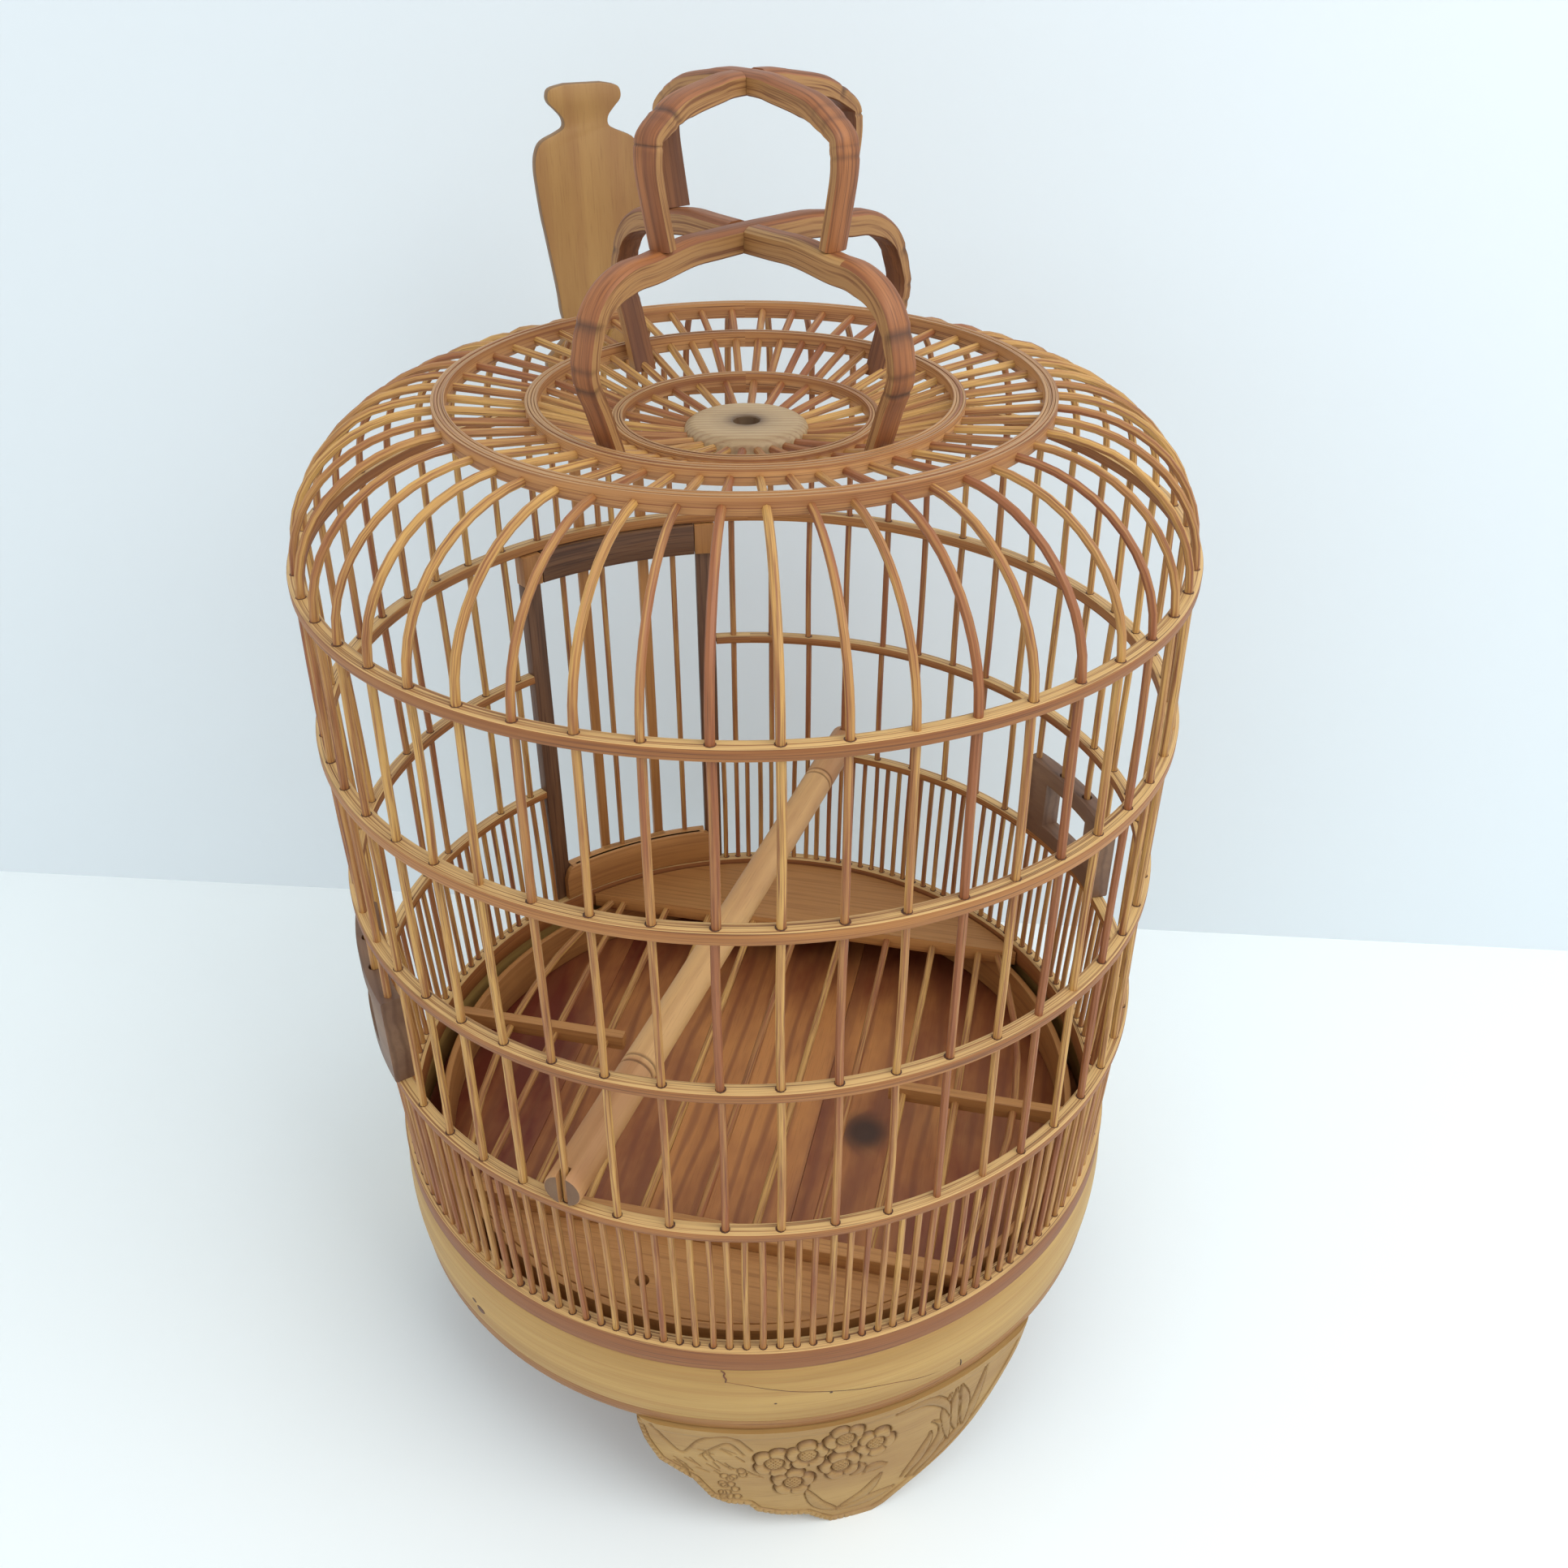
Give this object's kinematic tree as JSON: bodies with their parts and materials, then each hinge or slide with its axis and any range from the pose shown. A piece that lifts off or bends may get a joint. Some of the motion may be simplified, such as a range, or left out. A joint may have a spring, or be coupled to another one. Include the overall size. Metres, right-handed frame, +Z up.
{
  "type": "birdcage",
  "caption": "Round bamboo songbird cage with a ribbed roof, plank tray on carved feet, sliding door, perch, feeder frames and an arched handle.",
  "frame": {"origin": "middle of the cage, on the surface that the three feet stand on", "axes": "+Z up along the cage's axis, -Y towards the front foot's side, +X to the right seen from the front"},
  "size_m": [0.3336, 0.3363, 0.5415],
  "materials": {
    "honey_bamboo": "aged oiled bamboo, satin",
    "golden_bamboo": "split and drawn bamboo, satin",
    "pale_bamboo": "planed bamboo skin, satin",
    "brown_bamboo": "dark aged bamboo, satin",
    "red_wood": "stained planks, matt",
    "carved_wood": "carved bamboo skin, satin"
  },
  "bodies": {
    "root": {"base_band": "pale_bamboo", "base_hoop": "golden_bamboo", "door_block_left": "golden_bamboo", "door_block_right": "golden_bamboo", "door_lintel": "golden_bamboo", "door_post_left": "golden_bamboo", "door_post_right": "golden_bamboo", "floor_back_board": "golden_bamboo", "floor_batten_left": "honey_bamboo", "floor_batten_right": "honey_bamboo", "floor_front_board": "golden_bamboo", "floor_rail": "brown_bamboo", "floor_ring": "honey_bamboo", "floor_rod_1": "golden_bamboo", "floor_rod_10": "golden_bamboo", "floor_rod_11": "golden_bamboo", "floor_rod_2": "golden_bamboo", "floor_rod_3": "golden_bamboo", "floor_rod_4": "golden_bamboo", "floor_rod_5": "golden_bamboo", "floor_rod_6": "golden_bamboo", "floor_rod_7": "golden_bamboo", "floor_rod_8": "golden_bamboo", "floor_rod_9": "golden_bamboo", "foot_band": "brown_bamboo", "foot_front": "carved_wood", "foot_left": "carved_wood", "foot_right": "carved_wood", "handle_lower_1": "honey_bamboo", "handle_lower_2": "honey_bamboo", "handle_upper_1": "honey_bamboo", "handle_upper_2": "honey_bamboo", "lower_hoop": "golden_bamboo", "middle_hoop": "golden_bamboo", "roof_disc": "brown_bamboo", "roof_inner_ring": "honey_bamboo", "roof_middle_ring": "honey_bamboo", "roof_outer_ring": "honey_bamboo", "shoulder_hoop": "golden_bamboo", "tray_plank_1": "red_wood", "tray_plank_2": "red_wood", "tray_plank_3": "red_wood", "tray_plank_4": "red_wood", "tray_plank_5": "red_wood", "upper_hoop": "golden_bamboo"},
    "door": {"door_rail": "golden_bamboo", "door_bar_left": "golden_bamboo", "door_bar_middle": "golden_bamboo", "door_bar_right": "golden_bamboo", "door_strip_left": "golden_bamboo", "door_strip_right": "golden_bamboo", "door_plate": "honey_bamboo"},
    "perch": {"perch": "brown_bamboo"},
    "feeder_right": {"feeder_frame_right": "red_wood"},
    "feeder_left": {"feeder_frame_left": "red_wood"}
  },
  "joints": [
    {"name": "door_slide", "type": "slide", "parent": "root", "child": "door", "axis": [0, 0, 1], "range_m": [0, 0.165]},
    {"name": "perch_lift", "type": "slide", "parent": "root", "child": "perch", "axis": [0, 0, 1], "range_m": [0, 0.048]},
    {"name": "feeder_right_lift", "type": "slide", "parent": "root", "child": "feeder_right", "axis": [0, 0, 1], "range_m": [0, 0.022]},
    {"name": "feeder_left_lift", "type": "slide", "parent": "root", "child": "feeder_left", "axis": [0, 0, 1], "range_m": [0, 0.022]}
  ]
}
